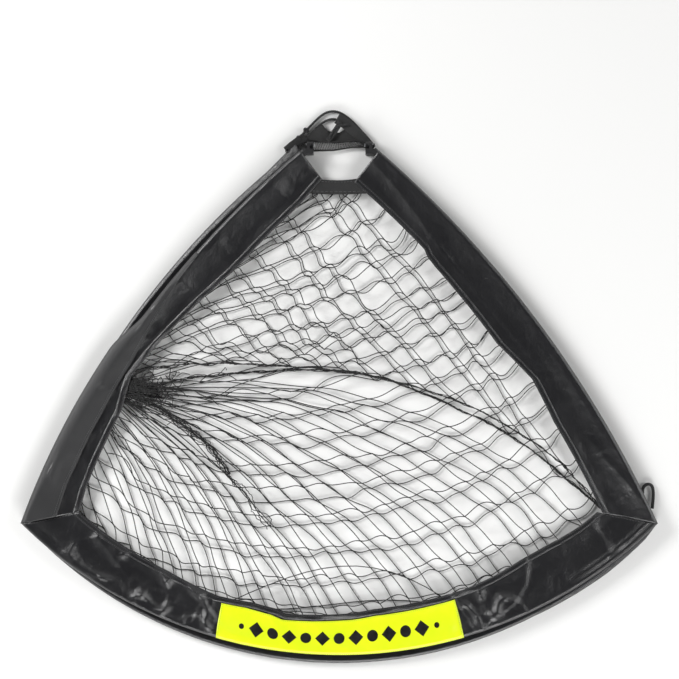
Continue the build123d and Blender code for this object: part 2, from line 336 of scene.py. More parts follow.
class Shader:
    """A Principled material with the few node patterns that the pieces need."""

    def __init__(self, name, roughness, **sockets):
        self.material = bpy.data.materials.new(name)
        self.material.use_nodes = True
        self.nodes = self.material.node_tree.nodes
        self.links = self.material.node_tree.links
        self.surface = self.nodes["Principled BSDF"]
        self.surface.inputs["Roughness"].default_value = roughness
        for socket, value in sockets.items():
            self.surface.inputs[socket.replace("_", " ")].default_value = value
        self.where = self.nodes.new("ShaderNodeTexCoord").outputs["Object"]
        self.normal = None

    def node(self, kind, **inputs):
        made = self.nodes.new(kind)
        for name, value in inputs.items():
            made.inputs[name.replace("_", " ")].default_value = value
        return made

    def placed(self, turn=0.0, stretch=(1, 1, 1)):
        mapping = self.node("ShaderNodeMapping", Rotation=(0, 0, turn), Scale=stretch)
        self.links.new(self.where, mapping.inputs["Vector"])
        return mapping.outputs["Vector"]

    def noise(self, scale, detail=3.0, turn=0.0, stretch=(1, 1, 1), roughness=0.55):
        made = self.node("ShaderNodeTexNoise", Scale=scale, Detail=detail, Roughness=roughness)
        self.links.new(self.placed(turn, stretch), made.inputs["Vector"])
        return made.outputs["Fac"]

    def wave(self, period, turn, distortion=0.0):
        """Soft lines a period in metres apart."""
        made = self.node("ShaderNodeTexWave", Scale=math.pi / (10 * period), Distortion=distortion)
        self.links.new(self.placed(turn), made.inputs["Vector"])
        return made.outputs["Fac"]

    def weave(self, one, other, how):
        """Two sets of lines put together, each given as its period and its turn."""
        made = self.nodes.new("ShaderNodeMath")
        made.operation = how
        self.links.new(self.wave(*one), made.inputs[0])
        self.links.new(self.wave(*other), made.inputs[1])
        return made.outputs["Value"]

    def scaled(self, value, low, high):
        made = self.node("ShaderNodeMapRange", To_Min=low, To_Max=high)
        self.links.new(value, made.inputs["Value"])
        return made.outputs["Result"]

    def shade(self, factor, low, dark, high, light, rubbed=None):
        """The base colour: dark to light by factor, and rubbed where the mesh's wear attribute says."""
        ramp = self.nodes.new("ShaderNodeValToRGB")
        for element, place, rgb in zip(ramp.color_ramp.elements, (low, high), (dark, light)):
            element.position = place
            element.color = (*rgb, 1)
        self.links.new(factor, ramp.inputs["Fac"])
        colour = ramp.outputs["Color"]
        if rubbed:
            wear = self.nodes.new("ShaderNodeAttribute")
            wear.attribute_name = "wear"
            mix = self.nodes.new("ShaderNodeMix")
            mix.data_type = "RGBA"
            self.links.new(wear.outputs["Fac"], mix.inputs["Factor"])
            self.links.new(colour, mix.inputs["A"])
            mix.inputs["B"].default_value = (*rubbed, 1)
            colour = mix.outputs["Result"]
        self.links.new(colour, self.surface.inputs["Base Color"])

    def rough(self, factor, low, high):
        self.links.new(self.scaled(factor, low, high), self.surface.inputs["Roughness"])

    def bump(self, height, distance, strength=1.0):
        made = self.node("ShaderNodeBump", Distance=distance, Strength=strength)
        self.links.new(height, made.inputs["Height"])
        if self.normal:
            self.links.new(self.normal, made.inputs["Normal"])
        self.normal = made.outputs["Normal"]
        self.links.new(self.normal, self.surface.inputs["Normal"])


s = Shader("coated_nylon", 0.3, Sheen_Weight=0.03, Sheen_Roughness=0.5, Specular_IOR_Level=0.9)
s.shade(s.noise(9.0, 4), 0.3, (0.004, 0.004, 0.005), 0.7, (0.009, 0.009, 0.0105), (0.03, 0.03, 0.032))
s.rough(s.noise(14.0, 4), 0.24, 0.38)
s.bump(s.noise(22.0, 4, turn=0.7, stretch=(1, 0.45, 1)), 0.004, 0.5)
s.bump(s.noise(85.0, 3), 0.0012, 0.55)
s.bump(s.weave((0.0011, 0.78), (0.0011, -0.78), "ADD"), 0.00012, 0.6)
CLOTH = s.material

# the uncoated side of the sleeves' nylon, coloured lighter than the sleeves' cloth: painted light for the light that
# the turned face catches
s = Shader("nylon_reverse_painted_light", 0.5, Sheen_Weight=0.08, Sheen_Roughness=0.5)
s.shade(s.noise(11.0, 4), 0.3, (0.017, 0.017, 0.018), 0.7, (0.025, 0.025, 0.026), (0.08, 0.08, 0.08))
s.rough(s.noise(14.0, 4), 0.42, 0.6)
s.bump(s.noise(18.0, 3, turn=-0.9, stretch=(1, 0.4, 1)), 0.002, 0.4)
s.bump(s.weave((0.0011, 0.78), (0.0011, -0.78), "ADD"), 0.00012, 0.6)
PAINTED_LIGHT_REVERSE = s.material

s = Shader("woven_webbing", 0.62, Sheen_Weight=0.05)
grain = s.noise(60.0, 3)
s.shade(grain, 0.3, (0.003, 0.003, 0.003), 0.75, (0.010, 0.010, 0.0105), (0.05, 0.05, 0.05))
s.bump(s.weave((0.0022, 0.6), (0.0016, -0.97), "MULTIPLY"), 0.0006, 0.9)
s.bump(grain, 0.0006, 0.4)
WEBBING = s.material


def twine(name, light):
    s = Shader(name, 0.6, Sheen_Weight=0.04, Specular_IOR_Level=0.4)
    s.shade(s.noise(300.0, 2), 0.3, (0.003 * light,) * 3, 0.75, (0.008 * light,) * 3)
    s.bump(s.wave(0.0012, 0.8, 2.0), 0.0003, 0.7)
    return s.material


TWINE, MESH_CLOTH = twine("net_twine", 1.0), twine("mesh_cloth", 1.6)

s = Shader("braided_cord", 0.45, Sheen_Weight=0.05)
cross = s.weave((0.0018, 0.9), (0.0018, -0.7), "MULTIPLY")
s.shade(cross, 0.1, (0.003, 0.003, 0.0035), 0.8, (0.010, 0.010, 0.011))
s.bump(cross, 0.0005, 0.9)
CORD = s.material

s = Shader("neon_satin", 0.34, Sheen_Weight=0.1, Coat_Weight=0.15, Coat_Roughness=0.3)
s.shade(s.noise(24.0, 4), 0.3, (0.74, 0.9, 0.002), 0.7, (0.84, 0.97, 0.006))
s.rough(s.noise(30.0, 3), 0.28, 0.44)
s.bump(s.noise(45.0, 3, turn=0.3, stretch=(1, 0.5, 1)), 0.0012, 0.5)
s.bump(s.weave((0.0009, 0.0), (0.0009, 1.57), "ADD"), 0.0001, 0.5)
NEON = s.material

s = Shader("black_ink", 0.36, Specular_IOR_Level=0.5)
s.shade(s.noise(120.0, 3), 0.3, (0.006, 0.006, 0.006), 0.75, (0.02, 0.02, 0.018))
s.bump(s.noise(500.0, 2), 0.0001, 0.4)
INK = s.material


def thread(name, rgb):
    s = Shader(name, 0.55, Sheen_Weight=0.3)
    s.shade(s.noise(400.0, 2), 0.3, tuple(c * 0.7 for c in rgb), 0.7, rgb)
    s.bump(s.wave(0.0006, 0.5), 0.0001, 0.6)
    return s.material


THREAD = thread("dark_thread", (0.05, 0.05, 0.053))
NEON_THREAD = thread("label_thread", (0.5, 0.62, 0.01))

s = Shader("moulded_plastic", 0.45)
s.shade(s.noise(50.0, 3), 0.35, (0.012, 0.012, 0.013), 0.7, (0.022, 0.022, 0.023))
s.rough(s.noise(90.0, 3), 0.38, 0.55)
s.bump(s.noise(900.0, 2), 0.0002, 0.5)
PLASTIC = s.material

s = Shader("fibreglass_rod", 0.25, Coat_Weight=0.3, Coat_Roughness=0.15)
s.shade(s.noise(400.0, 2, stretch=(1, 0.06, 1)), 0.35, (0.02, 0.02, 0.021), 0.7, (0.045, 0.045, 0.047))
s.bump(s.noise(600.0, 2, stretch=(1, 0.05, 1)), 0.0002, 0.4)
ROD = s.material

s = Shader("plated_steel", 0.28, Metallic=1.0)
s.shade(s.noise(200.0, 3), 0.35, (0.42, 0.42, 0.44), 0.7, (0.62, 0.62, 0.64))
s.rough(s.noise(300.0, 3), 0.2, 0.38)
s.bump(s.noise(900.0, 2, stretch=(0.1, 1, 1)), 0.0001, 0.4)
STEEL = s.material

CAD_LOOKS = {"pole": ROD, "elbow": PLASTIC, "hinge_end": PLASTIC, "hinge_pin": STEEL}
for node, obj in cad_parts.items():
    for ending, look in CAD_LOOKS.items():
        if node.endswith(ending):
            obj.data.materials.clear()
            obj.data.materials.append(look)


# ---- sleeves

TOP_STEPS = 24
ARC_STEPS = 11
LOW_STEPS = 8

# the turned cloth on the top left band: shares of the way along, and how far in from the rod it reaches
FACING = (
    (0, 0.02, 0.09, 0.14, 0.21, 0.26, 0.34, 0.41, 0.47, 0.52, 0.60, 0.69),
    (43, 42, 35, 34, 30, 29, 25, 23, 17, 12, 4, 0),
)
# the overlapping tab right of the label: distances from the rod, and where its edge is along the band
TAB = ((-72, -38, -19, -7, 4), (0.848, 0.808, 0.774, 0.728, 0.70))


def draped(band, u, out):
    """Height of a sleeve's upper layer over the rod and down to its hem, before wrinkles."""
    low = band.z - BASE_Z + 3.0
    share = 1 - out / band.hem_out(u)
    return low + (band.z + SLEEVE_R - low) * float(np.clip(1 - (1 - share) / 0.7, 0, 1)) ** 1.4


def wrinkles(x, y, seed, crumple=0.0):
    """Height that creases add to slack cloth at a plan position."""
    fine = 0.6 * rough(x, y, seed, 44.0) + 0.12 * rough(x, y, seed + 3, 15.0)
    broad = 1.6 * rough(x + y, (y - x) * 0.4, seed + 7, 90.0, 2)
    folds = 2.4 * max(0.0, ridged(x + 0.8 * y, 0.35 * (y - x), seed + 5, 120.0)) ** 3
    total = fine + broad + folds
    if crumple:
        bent = 8.0 * rough(x, y, seed + 29, 60.0, 1)
        long = abs(noise.noise(Vector(((x + 0.7 * y + bent) / 48, (0.6 * y - 0.35 * x) / 48, seed + 11))))
        short = abs(noise.noise(Vector(((x - 0.9 * y) / 60, (y + 0.7 * x + bent) / 60, seed + 17))))
        tiny = abs(noise.noise(Vector(((x + bent) / 27, (y - 0.7 * x) / 27, seed + 19))))
        total += crumple * (13.5 * math.exp(-4.9 * long - 3.1 * short - 0.8 * tiny) - 1.0)
    return total


def crumpled_front(u):
    left = smooth(0.02, 0.07, u) * smooth(0.325, 0.29, u)
    right = smooth(0.690, 0.700, u) * smooth(0.80, 0.75, u)
    return float(max(0.45 * left + 0.55 * left * smooth(0.11, 0.16, u), 0.75 * right))


def front_height(band, u, out):
    x, y = band.plan(u, out)
    edge = float(np.interp(out, *TAB))
    tab = 2.4 * float(smooth(0.695, 0.70, u)) * float(smooth(edge + 0.0015, edge - 0.0015, u))
    rim = 3.0 * float(smooth(0.83, 0.90, u)) * math.exp(-(((out + 9) / 5.0) ** 2))
    return draped(band, u, out) + tab - rim + settle(band, u, out) * wrinkles(x, y, 4.0, crumpled_front(u))


def settle(band, u, out):
    """Wrinkles fade out at the hem, and in part over the rod."""
    share = 1 - out / band.hem_out(u)
    return float(smooth(0.0, 0.14, share)) * (1 - 0.55 * float(smooth(0.86, 1.0, share)))


def plain_height(seed):
    def height(band, u, out):
        x, y = band.plan(u, out)
        return draped(band, u, out) + settle(band, u, out) * wrinkles(x, y, seed)

    return height


# how much further out than the rod a sleeve's cloth reaches: shares of the way along, and by how much
BULGES = {
    ("base", "left"): ((0, 0.45, 0.62, 0.72, 0.92, 0.97, 1.0), (0, 0, 2, 3.5, 7, 12, 15)),
    ("base", "front"): ((0, 0.78, 0.90, 0.97, 1.0), (0, 0, 6, 6, 2)),
}


def sleeve(name, band, body, count, height, bulge):
    """A band's whole cloth: upper layer, round the rod, and lower layer, closed at both ends."""
    turns = [math.pi / 2 - math.pi * k / (ARC_STEPS - 1) for k in range(ARC_STEPS)]
    ring = TOP_STEPS + ARC_STEPS + LOW_STEPS
    least = band.z - BASE_Z + 1.4
    points, wear = [], []
    for k in range(count + 1):
        u = k / count
        hem = band.hem_out(u)
        for step in range(TOP_STEPS):
            share = step / TOP_STEPS
            out = hem * (1 - share)
            points.append(band.point(u, out, max(height(band, u, out), least)))
            wear.append(0.5 * (1 - float(smooth(0.0, 0.05, share))))
        crest = max(height(band, u, 0.0), least) - band.z
        for turn in turns:
            rise = math.sin(turn) * (crest if turn > 0 else SLEEVE_R)
            reach = (SLEEVE_R + float(np.interp(u, *bulge))) * math.cos(turn)
            points.append(band.point(u, reach, max(band.z + rise, 0.1)))
            wear.append(0.3 * math.cos(turn) ** 6)
        for step in range(LOW_STEPS):
            out = hem * (step + 1) / LOW_STEPS
            points.append(band.point(u, out, max(band.z - SLEEVE_R + 0.05, 0.1)))
            wear.append(0.0)
    faces = []
    for k in range(count):
        for j in range(ring):
            a, b = k * ring + j, k * ring + (j + 1) % ring
            faces.append((a, b, b + ring, a + ring))
    first = tuple(range(ring))
    faces.append(first[::-1])
    faces.append(tuple(count * ring + j for j in first))
    if band.mirrored:
        faces = [f[::-1] for f in faces]
    piece = new_piece(name, points, faces, CLOTH, body)
    piece.data.attributes.new("wear", "FLOAT", "POINT").data.foreach_set("value", wear)
    return piece


def slab(name, surface, across, along, thick, material, body, flip=False):
    """A thin closed strip of cloth or webbing: surface(v, u) is its upper side, v across and u along."""
    upper = [[surface(v, u) for v in np.linspace(0, 1, across + 1)] for u in np.linspace(0, 1, along + 1)]
    wide = across + 1
    count = wide * (along + 1)
    points = [p for row in upper for p in row]
    points += [(x, y, z - thick) for x, y, z in points]
    faces = []
    for k in range(along):
        for j in range(across):
            a = k * wide + j
            faces.append((a, a + 1, a + 1 + wide, a + wide))
            faces.append((a + count, a + wide + count, a + 1 + wide + count, a + 1 + count))
    rim = [j for j in range(wide)] + [k * wide + across for k in range(1, along + 1)]
    rim += [along * wide + j for j in range(across - 1, -1, -1)] + [k * wide for k in range(along - 1, 0, -1)]
    for a, b in zip(rim, rim[1:] + rim[:1]):
        faces.append((b, a, a + count, b + count))
    if flip:
        faces = [f[::-1] for f in faces]
    return new_piece(name, points, faces, material, body)


HEIGHTS = {
    ("base", "front"): plain_height(1.0),
    ("base", "left"): plain_height(2.0),
    ("base", "right"): plain_height(3.0),
    ("top", "front"): front_height,
    ("top", "left"): plain_height(5.0),
    ("top", "right"): plain_height(6.0),
}
FRAMES = {"base": (BASE, "base_frame"), "top": (TOP, "top_frame")}
for which, (bands, body) in FRAMES.items():
    for side, band in bands.items():
        bulge = BULGES.get((which, side), ((0, 1), (0, 0)))
        stem = "crossbar" if (which, side) == ("top", "front") else f"{which}_{side}"
        count = 420 if side == "front" else 260
        piece = sleeve(f"{stem}_sleeve_cloth", band, body, count, HEIGHTS[which, side], bulge)
        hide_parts(f"{stem}_sleeve")


def hem_strip(which, side):
    """The folded hem along a band's inner edge, with its two rows of stitches."""
    bands, body = FRAMES[which]
    band, height = bands[side], HEIGHTS[which, side]

    def surface(v, u):
        out = band.hem_out(u) - 0.9 + (HEM + 0.9) * v
        over = 0.9 * math.sin(math.pi * min(1.0, 0.15 + v)) ** 0.5
        base = max(height(band, u, max(out, band.hem_out(u))), band.z - BASE_Z + 1.4)
        return band.point(u, out, base + over)

    slab(f"{which}_{side}_hem", surface, 5, 300, 1.2, CLOTH, body, band.mirrored)
    stitches = Tubes(4)
    length = band.bow.length * 0.93
    for inset in (1.6, 6.6):
        for k in range(int(length / 4.4)):
            first = (k + 0.2) * 4.4 / length
            ends = []
            for u in (first, first + 2.8 / length):
                x, y, z = surface((inset + 0.9) / (HEM + 0.9), min(u, 1.0))
                ends.append((x, y, z + 0.12))
            stitches.stitch(*ends, 0.36, 0.12)
    stitches.piece(f"{which}_{side}_stitches", THREAD, body, "sleeve_fabric")


for which in FRAMES:
    for side in ("front", "left", "right"):
        hem_strip(which, side)


# the seam across each upper corner, where the front band is sewn to the side's
seam, band = Tubes(4), TOP["front"]
for u in (0.0028, 1 - 0.0028):
    for k in range(17):
        outs = -(k * 3.9 + 2), -(k * 3.9 + 4.6)
        seam.stitch(*[(*band.plan(u, out), front_height(band, u, out) + 0.25) for out in outs], 0.36)
seam.piece("mitre_stitches", THREAD, "top_frame", "sleeve_fabric")


def facing_surface(v, u):
    """The turned cloth's upper side: v from its inner edge to its outer one, u up the band."""
    band, height = TOP["left"], HEIGHTS["top", "left"]
    u = u * FACING[0][-1]
    inner = -float(np.interp(u, *FACING))
    spread = float(smooth(0.52, 0.42, u))
    outer = SLEEVE_R + 0.6 + spread * max(0.0, BASE["left"].beyond(u))
    edge = height(band, u, inner) + 2.2
    crest = band.z + SLEEVE_R + 0.9
    out = inner + (outer - inner) * v
    if out <= 0:
        level = edge + (crest - edge) * (1 - out / min(inner, -1e-3)) ** 0.8
        x, y = band.plan(u, out)
        level += 0.5 * rough(x, y, 31.0, 60.0, 2) * math.sin(math.pi * v)
        level = max(level, height(band, u, out) + 1.0)
    else:
        level = band.z + (SLEEVE_R + 0.9) * math.sqrt(max(0.0, 1 - (out / (outer + 0.4)) ** 2))
    return band.point(u, out, level)


# the facing's lighter colour is painted light, for the light that its tilted face catches
facing = slab("top_left_facing", facing_surface, 16, 200, 0.8, PAINTED_LIGHT_REVERSE, "top_frame", True)


rows = Tubes(4)
for k in range(120):
    u = (k + 0.3) / 120 * 0.82
    rows.stitch(*[(x, y, z + 0.15) for x, y, z in (facing_surface(0.1, w) for w in (u, u + 0.0048))], 0.33)
rows.piece("facing_stitches", THREAD, "top_frame", "sleeve_fabric")


# ---- label

LABEL_TURN = math.radians(62)  # how far round the rod its lower edge is
LABEL_START, LABEL_SPAN = 0.310, 0.379  # shares of the way along the band
LABEL_LONG, LABEL_WIDE = 430.0, 63.0


def label_point(v, u, lift=0.0):
    """A point on the label: v from its upper edge, near the hem, to its lower one, round the rod."""
    band = TOP["front"]
    along = LABEL_START + LABEL_SPAN * u
    inner = band.hem_out(along) + HEM + 1.4
    arc = (SLEEVE_R + 0.7) * LABEL_TURN
    total = -inner + arc
    done = v * total
    if done <= -inner:
        out = inner + done
        level = front_height(band, along, out) + 0.85 + lift
    else:
        turn = math.pi / 2 - (done + inner) / (SLEEVE_R + 0.7)
        crest = front_height(band, along, 0.0) - band.z + 0.85 + lift
        out = (SLEEVE_R + 0.8 + lift) * math.cos(turn)
        level = band.z + crest * math.sin(turn)
    slant = (0.00036 if u < 0.5 else -0.0003) * (out + 30) * abs(2 * u - 1)
    return band.point(along + slant, out, level)


label = slab("label_patch_cloth", label_point, 26, 150, 0.5, NEON, "top_frame", True)
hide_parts("label_patch")


def printed(tubes_points, faces, outline, centre_u, centre_v, size):
    """Adds one flat printed shape, fitted to the label: outline(turn) is its reach from its centre."""
    rings, spokes = 4, 36
    first = len(tubes_points)
    for r in range(rings + 1):
        for s in range(spokes):
            turn = 2 * math.pi * s / spokes
            reach = outline(turn) * size * r / rings
            u = centre_u + reach * math.cos(turn) / LABEL_LONG
            v = centre_v + reach * math.sin(turn) / LABEL_WIDE
            tubes_points.append(label_point(v, u, 0.22))
    for r in range(rings):
        for s in range(spokes):
            a, b = first + r * spokes + s, first + r * spokes + (s + 1) % spokes
            faces.append((a, b, b + spokes, a + spokes))


def disc(turn):
    return 1.0


def diamond(turn):
    return 1.0 / (abs(math.cos(turn)) + abs(math.sin(turn)))


points, faces = [], []
for k in range(-5, 6):
    printed(points, faces, diamond if k % 2 else disc, 0.5 + k * 0.068, 0.5, 13.0 if k % 2 else 9.5)
for end in (-1, 1):
    printed(points, faces, disc, 0.5 + end * 0.402, 0.5, 4.5)
new_piece("label_print", points, faces, INK, "top_frame")


rows = Tubes(4)
for v in (0.035, 0.965):
    for k in range(118):
        rows.stitch(*[label_point(v, (k + end) / 118, 0.1) for end in (0.2, 0.8)], 0.3)
for u in (0.006, 0.994):
    for k in range(18):
        rows.stitch(*[label_point((k + end) / 18, u, 0.1) for end in (0.2, 0.8)], 0.3)
rows.piece("label_stitches", NEON_THREAD, "top_frame", "label_fabric")


# ---- nets


class Rim:
    """The opening that a frame's net fills. Places on it go 0 to 1 down the left hem, 1 to 2 along
    the mouth's hem, 2 to 3 up the right hem and -1 to 0 back along the ribbon."""

    def __init__(self, bands, inset):
        left, right, front = [bands[side] for side in ("left", "right", "front")]
        down = self.inside(left, inset, np.linspace(1.0, 0.0, 120))
        up = self.inside(right, inset, np.linspace(0.0, 1.0, 120))
        across = np.array([front.plan(u, front.hem_out(u) + inset) for u in np.linspace(0.0, 1.0, 160)])
        top = np.array((up[-1], down[0])) + (0, 3)
        self.lines = (down, across, up, top)

    @staticmethod
    def inside(band, inset, shares):
        line = np.array([band.plan(u, band.hem_out(u) + inset) for u in shares])
        return line[line[:, 1] < RIBBON_LOW_Y + 4]

    def at(self, place):
        line = self.lines[int(math.floor(place)) % 4]
        return along_line(line, place - math.floor(place))


def along_line(line, share):
    lengths = distances(line)
    return np.array([np.interp(share * lengths[-1], lengths, line[:, k]) for k in range(2)])


# Rows of each family: share of the way through it, place on the rim that its twine leaves, place
# that it reaches, and the headings in degrees that it leaves and arrives with.
CROSSING = (
    (0.00, 0.04, 3.85, 40, 44), (0.13, 0.29, 3.18, 36, 44), (0.18, 0.37, 2.96, 34, 42),
    (0.28, 0.53, 2.83, 32, 34), (0.37, 0.63, 2.71, 24, 29), (0.44, 0.655, 2.65, 12, 28),
    (0.52, 0.665, 2.58, -4, 29), (0.62, 0.69, 2.45, -30, 32), (0.72, 0.77, 2.31, -46, 36),
    (0.82, 0.90, 2.14, -50, 38), (0.91, 1.08, 1.92, -38, 36), (1.00, 1.38, 1.62, -18, 16),
)
# these end on the upper rope: the place they reach is the share of the way along it
UPPER = (
    (0.00, -0.70, 0.97, -44, -57), (0.09, -0.25, 0.83, -50, -52), (0.18, 0.05, 0.70, -52, -46),
    (0.27, 0.115, 0.60, -48, -42), (0.36, 0.18, 0.51, -44, -38), (0.54, 0.31, 0.37, -38, -32),
    (0.72, 0.44, 0.25, -32, -26), (1.00, 0.61, 0.09, -25, -15),
)
LOWER = (
    (0.00, 0.660, 1.98, 8, -50), (0.12, 0.664, 1.87, 4, -53), (0.26, 0.670, 1.73, -7, -52),
    (0.40, 0.678, 1.59, -17, -54), (0.50, 0.685, 1.49, -25, -60), (0.58, 0.695, 1.41, -31, -66),
    (0.66, 0.710, 1.34, -38, -70), (0.74, 0.735, 1.27, -48, -74), (0.82, 0.770, 1.20, -58, -78),
    (0.90, 0.830, 1.12, -70, -83), (1.00, 0.930, 1.03, -80, -88),
)
CROSSING_COUNT, UPPER_COUNT, LOWER_COUNT = 23, 12, 21
TWINE_R = 0.86
# plan points, in the part's frame, along the two ropes of bunched netting and the tangle below them
UPPER_ROPE = [(-352, 28), (-290, 40), (-200, 43), (-92, 38), (9, 30), (102, 11), (210, -23), (301, -72)]
UPPER_ROPE += [(379, -126), (443, -203)]
LOWER_ROPE = [(-354, -4), (-285, 13), (-214, 23), (-120, 29), (-40, 32), (30, 26), (84, 16), (177, -23)]
LOWER_ROPE += [(286, -75), (361, -132), (447, -206)]
TANGLE = [(-350, -8), (-300, -36), (-250, -74), (-215, -104), (-188, -148), (-150, -190), (-118, -236)]


def heading(degrees):
    return np.array((math.cos(math.radians(degrees)), math.sin(math.radians(degrees))))


def hermite(a, b, way_a, way_b, t):
    near = (2 * t**3 - 3 * t**2 + 1) * a + (t**3 - 2 * t**2 + t) * way_a
    return near + (-2 * t**3 + 3 * t**2) * b + (t**3 - t**2) * way_b


def family(rows, count, leave_from, reach_to, rng):
    """Smooth curves across the opening, from the rim at leave_from to reach_to."""
    rows = np.array(rows)
    curves = []
    for k in range(count):
        share = np.clip((k + 0.5 + rng.uniform(-0.12, 0.12)) / count, 0, 1)
        start, end, leave, arrive = [np.interp(share, rows[:, 0], rows[:, c]) for c in range(1, 5)]
        a, b = leave_from(start), reach_to(end)
        reach = np.linalg.norm(b - a)
        t = np.linspace(0, 1, 80)[:, None]
        curves.append(hermite(a, b, heading(leave) * reach, heading(arrive) * reach, t))
    return curves


def crossing(a, b):
    """Where two curves cross, as the distance through each in sample steps, or None."""
    pa, da = a[:-1, None], np.diff(a, axis=0)[:, None]
    pb, db = b[None, :-1], np.diff(b, axis=0)[None]
    gap = pb - pa
    cross = da[..., 0] * db[..., 1] - da[..., 1] * db[..., 0]
    cross = np.where(np.abs(cross) < 1e-12, 1e-12, cross)
    s = (gap[..., 0] * db[..., 1] - gap[..., 1] * db[..., 0]) / cross
    t = (gap[..., 0] * da[..., 1] - gap[..., 1] * da[..., 0]) / cross
    hits = np.argwhere((s >= 0) & (s < 1) & (t >= 0) & (t < 1))
    if not len(hits):
        return None
    i, j = hits[0]
    return i + s[i, j], j + t[i, j]


def slackness(place, crossing_twine):
    """How loosely a bar of twine hangs: taut ones run up from the left hem and down beside the right one."""
    x, y = place
    above = float(smooth(10, 50, y - 28 + 0.0006 * max(x, 0.0) ** 2))
    leftwards = float(1 - smooth(-90, 60, x + 117 - 0.63 * (y - 100)))
    rightwards = float(smooth(-30, 90, x + 0.15 * (y - 100)))
    if crossing_twine:
        return above * (0.95 - 0.8 * leftwards) + (1 - above) * 0.62
    return above * (0.95 - 0.8 * rightwards) + (1 - above) * 0.16


def knotted_net(edge, rope, seed, shift):
    """Two families of twine knotted where they cross: the points of each bar, and the knots."""
    rng = np.random.default_rng(seed)
    crossing_twine = family(CROSSING, CROSSING_COUNT, edge.at, edge.at, rng)
    falling = family(UPPER, UPPER_COUNT, edge.at, lambda share: along_line(rope, share), rng)
    falling += family(LOWER, LOWER_COUNT, edge.at, edge.at, rng)
    knots = []
    stations = [[[] for _ in crossing_twine], [[] for _ in falling]]
    for i, a in enumerate(crossing_twine):
        for j, b in enumerate(falling):
            hit = crossing(a, b)
            if hit:
                k = int(hit[0])
                place = a[k] + (a[min(k + 1, len(a) - 1)] - a[k]) * (hit[0] - k)
                jog = np.array([rough(*place, 7.0 + side * 5.3, 90.0, 2) for side in range(2)]) * 4.5
                jog += rng.uniform(-1.3, 1.3, 2)
                apart = 1 + 1.6 * float(smooth(40, -120, place[1]) * smooth(-260, -60, place[0]))
                uneven = [1.0 + 0.9 * rough(*place, 27.0 + side * 5.3, 120.0, 2) for side in range(2)]
                jog += apart * shift * np.array(uneven)
                stations[0][i].append((hit[0], len(knots)))
                stations[1][j].append((hit[1], len(knots)))
                knots.append(place + jog)
    chains = []
    for curves, hits_of in zip((crossing_twine, falling), stations):
        for curve, hits in zip(curves, hits_of):
            order = [n for _, n in sorted(hits)]
            chains.append(([curve[0], *[knots[n] for n in order], curve[-1]], [None, *order, None]))
    # each knot draws the twine of both families together, along the mean of their ways
    ways = np.zeros((len(knots), 2))
    for line, order in chains:
        for k in range(1, len(line) - 1):
            way = line[k + 1] - line[k - 1]
            ways[order[k]] += way / max(np.linalg.norm(way), 1e-6)
    ways /= np.maximum(np.linalg.norm(ways, axis=1, keepdims=True), 1e-6)
    paths = []
    for index, (line, order) in enumerate(chains):
        path = [line[0]]
        for k in range(len(line) - 1):
            a, b = line[k], line[k + 1]
            gap = np.linalg.norm(b - a)
            tangents = []
            arch = rng.normal(0, 0.5) * slackness(a, index < CROSSING_COUNT)
            for end in (k, k + 1):
                before, after = line[max(end - 1, 0)], line[min(end + 1, len(line) - 1)]
                own = (after - before) / max(np.linalg.norm(after - before), 1e-6)
                loose = min(1.0, slackness(line[end], index < CROSSING_COUNT) * rng.uniform(0.8, 1.15))
                knot_way = own if order[end] is None else ways[order[end]]
                way = own * (1 - loose) + knot_way * loose
                swing = rng.normal(0, 0.03 + 0.22 * loose) + (arch if end == k else -arch)
                way = np.array((way[0] - swing * way[1], way[1] + swing * way[0]))
                tangents.append(way / max(np.linalg.norm(way), 1e-6) * gap * (1.0 + 0.55 * loose))
            t = np.linspace(0, 1, max(4, min(12, int(gap / 3.2))) + 1)[1:, None]
            path.extend(hermite(a, b, *tangents, t))
        paths.append(np.array(path))
    return paths, np.array(knots)


def bunch(tubes, guide, level, rng, thick, strands, spread):
    """Bunched netting: strands wound loosely about a line, with knots in them."""
    guide = resample(guide, 2.4)
    n = len(guide)
    share = np.linspace(0, 1, n)
    ways = directions(guide)
    across = np.stack((-ways[:, 1], ways[:, 0]), -1)
    loose = np.interp(share, (0, 0.15, 0.6, 1.0), spread)
    for _ in range(strands):
        phase, pitch = rng.uniform(0, 6.28), rng.uniform(45, 110)
        wander = np.convolve(rng.normal(0, 1, n + 12), np.ones(13) / 4.5, "valid")
        offset = loose * (0.8 * np.sin(share * n * 2.4 / pitch * 6.28 + phase) + 0.7 * wander)
        rise = 0.6 + 0.5 * np.cos(share * n * 2.4 / pitch * 6.28 + phase)
        tubes.add(np.column_stack((guide + across * offset[:, None], level + rise)), 0.75)
    if thick:
        lumps = np.clip(np.convolve(rng.uniform(0, 1, n + 2) ** 3, np.ones(3) / 3, "valid") - 0.2, 0, 1)
        jitter = np.convolve(rng.normal(0, 1, n + 2), np.ones(3) / 3, "valid") * 0.8
        path = np.column_stack((guide + across * jitter[:, None], np.full(n, level + 0.6)))
        tubes.add(path, thick * (0.85 + 2.3 * lumps))


